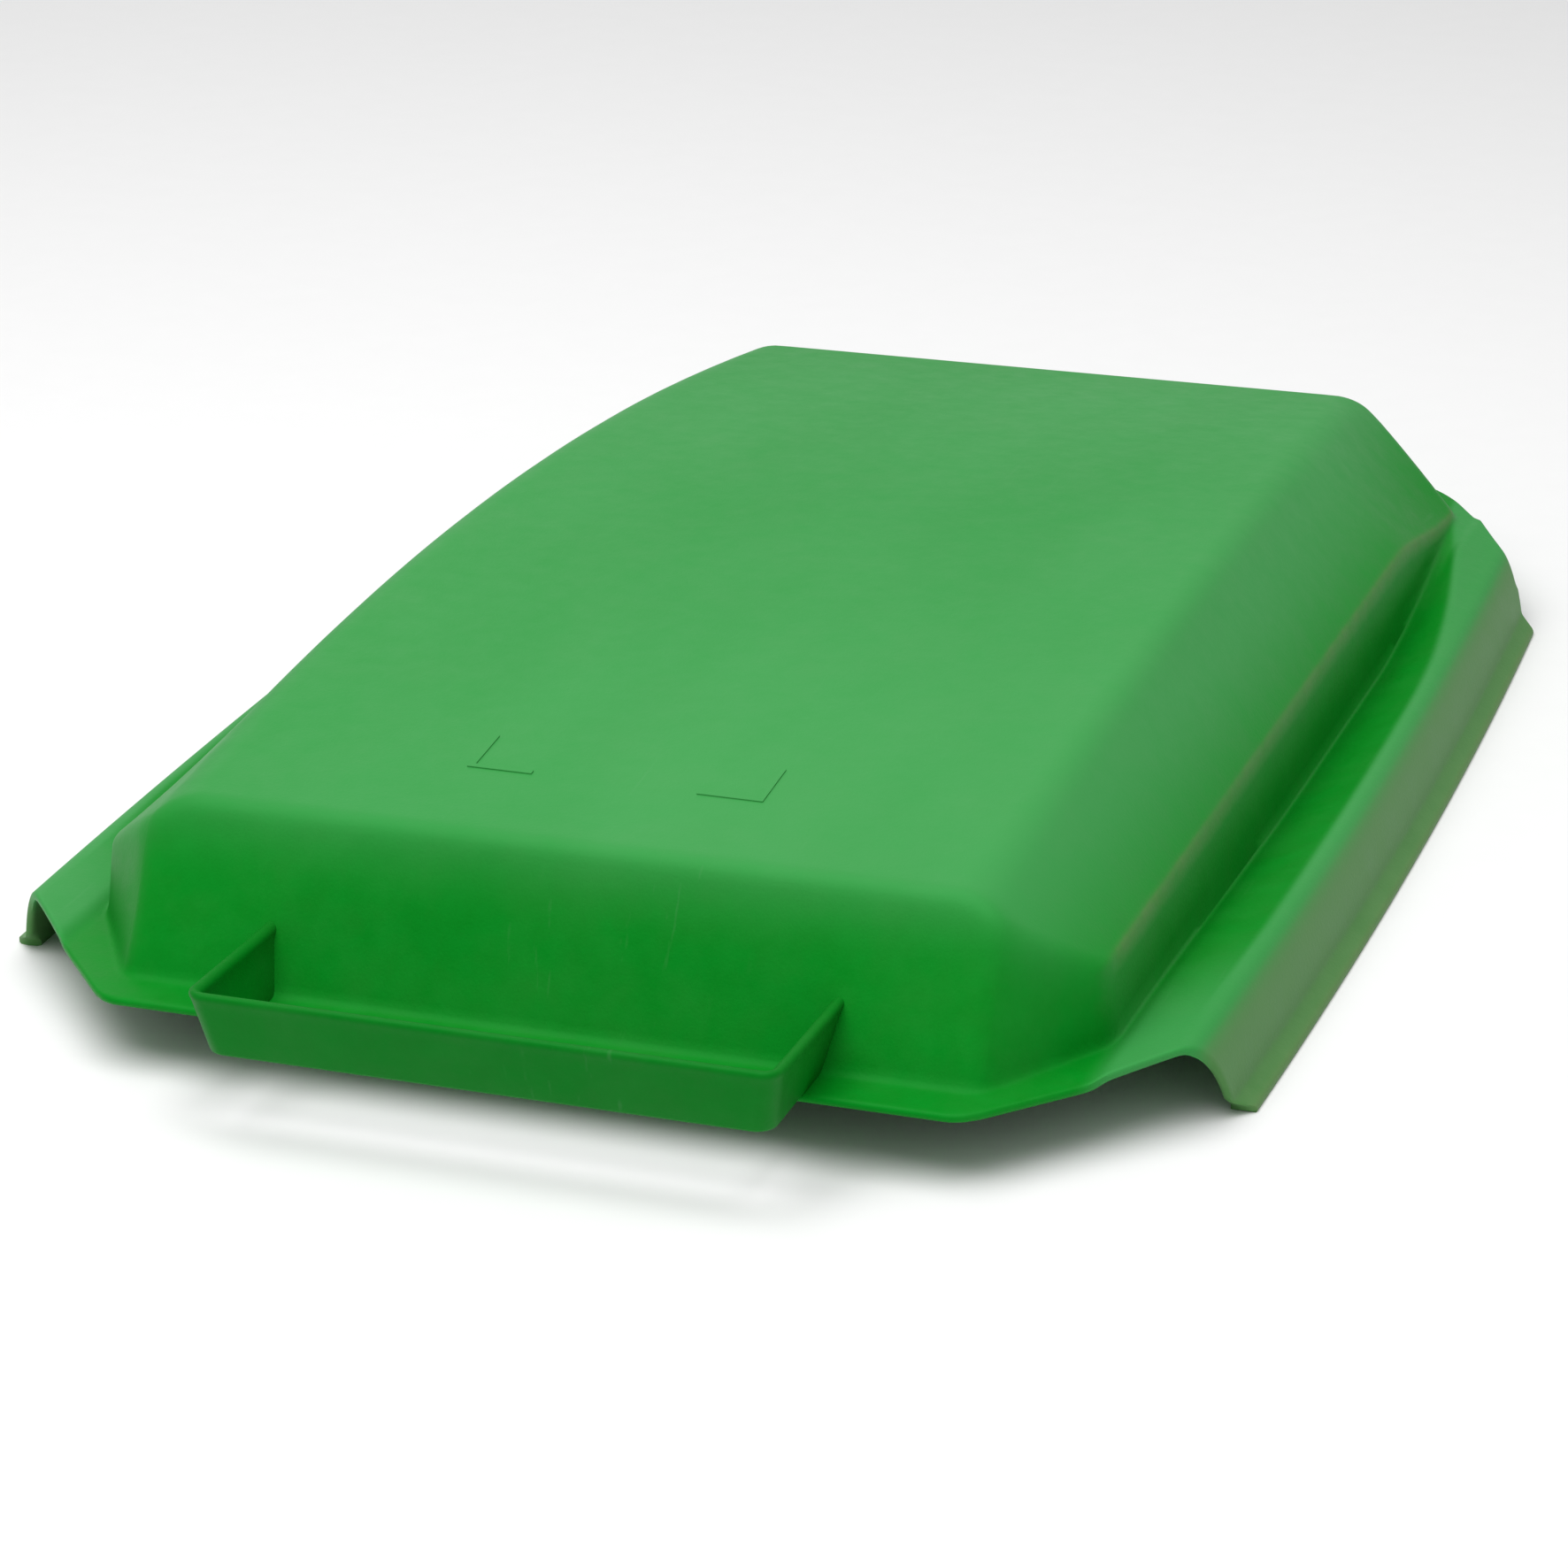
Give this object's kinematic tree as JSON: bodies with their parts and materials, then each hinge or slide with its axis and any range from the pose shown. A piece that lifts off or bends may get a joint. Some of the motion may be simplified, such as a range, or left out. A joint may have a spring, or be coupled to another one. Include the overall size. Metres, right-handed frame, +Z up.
{
  "type": "wheeled bin lid",
  "caption": "Domed lid of a wheeled waste bin: raised arched top, side grooves, outer skirts, front grip loop and rear hinge barrels with hollow pins.",
  "frame": {"origin": "under the middle of the lid's whole length and width, on the plane of the skirts' feet", "axes": "+X to the right along the hinge axis, +Y from the front grip to the hinge, +Z up, out of the closed lid"},
  "size_m": [0.6056, 0.8806, 0.1272],
  "materials": {
    "lid_plastic": "fine-grained moulded polyethylene, satin",
    "pin_plastic": "smooth moulded nylon",
    "buffer_rubber": "matt rubber"
  },
  "bodies": {
    "lid": {"lid_shell": "lid_plastic", "front_grip": "lid_plastic", "label_corner_marks": "lid_plastic", "underside_ribs": "lid_plastic", "hinge_barrel_left": "lid_plastic", "hinge_barrel_right": "lid_plastic", "rim_buffers": "buffer_rubber"},
    "pin_left": {"hinge_pin_left": "pin_plastic"},
    "pin_right": {"hinge_pin_right": "pin_plastic"}
  },
  "joints": [
    {"name": "hinge_left", "type": "hinge", "parent": "lid", "child": "pin_left", "pos_m": [-0.135, 0.42535, 0.018], "axis": [1, 0, 0], "range_deg": [0, 270]},
    {"name": "hinge_right", "type": "hinge", "parent": "lid", "child": "pin_right", "pos_m": [0.135, 0.42535, 0.018], "axis": [1, 0, 0], "range_deg": [0, 270]}
  ],
  "couplings": [
    {"joint": "hinge_right", "follows": "hinge_left", "ratio": 1}
  ]
}
